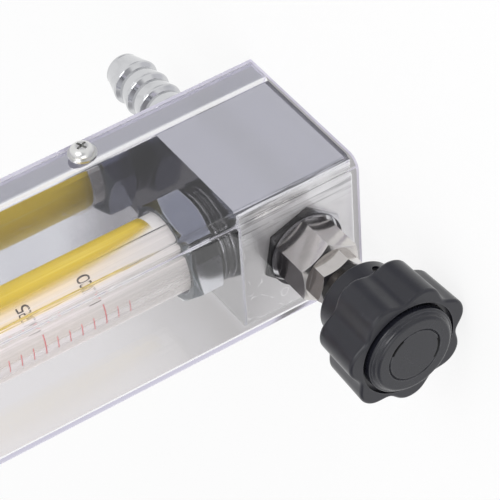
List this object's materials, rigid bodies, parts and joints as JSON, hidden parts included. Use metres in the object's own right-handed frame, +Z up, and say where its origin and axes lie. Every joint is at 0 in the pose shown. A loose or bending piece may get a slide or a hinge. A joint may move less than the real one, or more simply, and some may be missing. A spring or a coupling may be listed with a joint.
{
  "type": "oxygen flowmeter",
  "caption": "Panel-mounted glass-tube oxygen flowmeter with a needle valve, star knob, clear cover and rear hose tails.",
  "frame": {"origin": "on the axis of the lower (inlet) rear stud, in the plane of the rear edges of the channel and the cover, which stand on the front face of the panel that carries the meter", "axes": "+Z up the measuring tube, +Y out of the back along the hose tails, knob towards -Y, +X to the right as seen from the front"},
  "size_m": [0.0452, 0.1225, 0.2105],
  "materials": {
    "mirror_sheet": "mirror polished",
    "clear_acrylic": "clear gloss",
    "polished_block": "polished",
    "chrome_plate": "bright",
    "nickel_plate": "satin",
    "black_nut": "satin",
    "tube_glass": "clear gloss",
    "white_polymer": "matt",
    "seal_rubber": "matt",
    "float_metal": "satin",
    "steel_stem": "satin",
    "black_screw": "satin",
    "knob_plastic": "satin",
    "cap_plastic": "satin",
    "screw_steel": "bright"
  },
  "bodies": {
    "housing": {"back_channel": "mirror_sheet", "front_cover": "clear_acrylic", "lower_block": "polished_block", "upper_block": "polished_block", "upper_plug": "chrome_plate", "plug_gasket": "seal_rubber", "metering_tube": "tube_glass", "lower_stop": "white_polymer", "upper_stop": "white_polymer", "lower_tube_ring": "seal_rubber", "upper_tube_ring": "seal_rubber", "lower_gland_nut": "chrome_plate", "upper_gland_nut": "chrome_plate", "inlet_tail": "chrome_plate", "outlet_tail": "chrome_plate", "inlet_gasket": "seal_rubber", "outlet_gasket": "seal_rubber", "inlet_lock_nut": "chrome_plate", "outlet_lock_nut": "chrome_plate", "valve_lock_nut": "black_nut", "valve_bonnet": "nickel_plate", "valve_gasket": "seal_rubber", "stem_packing": "white_polymer", "packing_nut": "nickel_plate", "cover_screw_right_lower": "screw_steel", "cover_washer_right_lower": "screw_steel", "nut_plate_right_lower": "screw_steel", "cover_screw_right_upper": "screw_steel", "cover_washer_right_upper": "screw_steel", "nut_plate_right_upper": "screw_steel", "cover_screw_left_lower": "screw_steel", "cover_washer_left_lower": "screw_steel", "nut_plate_left_lower": "screw_steel", "cover_screw_left_upper": "screw_steel", "cover_washer_left_upper": "screw_steel", "nut_plate_left_upper": "screw_steel"},
    "float": {"float": "float_metal"},
    "stem": {"valve_stem": "steel_stem"},
    "knob": {"knob": "knob_plastic", "knob_cap": "cap_plastic", "knob_set_screw": "black_screw"}
  },
  "joints": [
    {"name": "float_lift", "type": "slide", "parent": "housing", "child": "float", "axis": [0, 0, 1], "range_m": [0, 0.141]},
    {"name": "stem_travel", "type": "slide", "parent": "housing", "child": "stem", "axis": [0, -1, 0], "range_m": [0, 0.004]},
    {"name": "knob_turn", "type": "hinge", "parent": "stem", "child": "knob", "pos_m": [0, -0.075, 0], "axis": [0, -1, 0], "range_deg": [0, 1440]}
  ],
  "couplings": [
    {"joint": "knob_turn", "follows": "stem_travel", "rad_per_m": 6283.2}
  ]
}
